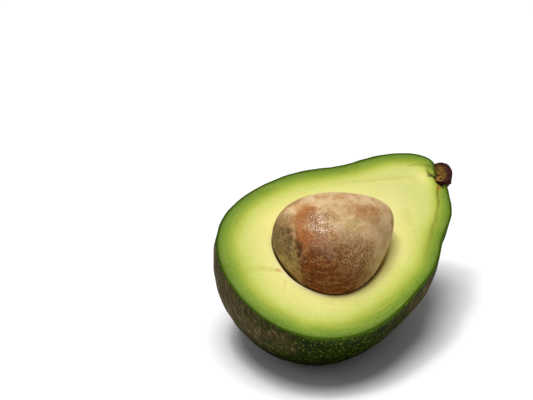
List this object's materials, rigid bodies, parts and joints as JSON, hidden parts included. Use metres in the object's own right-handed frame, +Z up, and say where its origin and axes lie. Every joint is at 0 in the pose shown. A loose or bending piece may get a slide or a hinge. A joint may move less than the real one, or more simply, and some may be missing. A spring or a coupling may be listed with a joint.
{
  "type": "avocado half",
  "caption": "Green avocado cut lengthwise, with its seed in the pale flesh, thin dark skin and half of the stem button, resting on its rounded back.",
  "frame": {"origin": "on the flat spot that the half rests on, at its middle", "axes": "+Z up, +X level towards the stem end, -Y the side that the cut face leans to"},
  "size_m": [0.1023, 0.0719, 0.0545],
  "materials": {
    "skin": "satin, pebbled, with pale flecks",
    "flesh": "moist, smooth knife cut",
    "seed": "moist, mottled seed coat",
    "stem": "dry bark and cut wood"
  },
  "bodies": {
    "root": {"skin": "skin", "flesh": "flesh", "seed": "seed", "stem_button": "stem"}
  },
  "joints": []
}
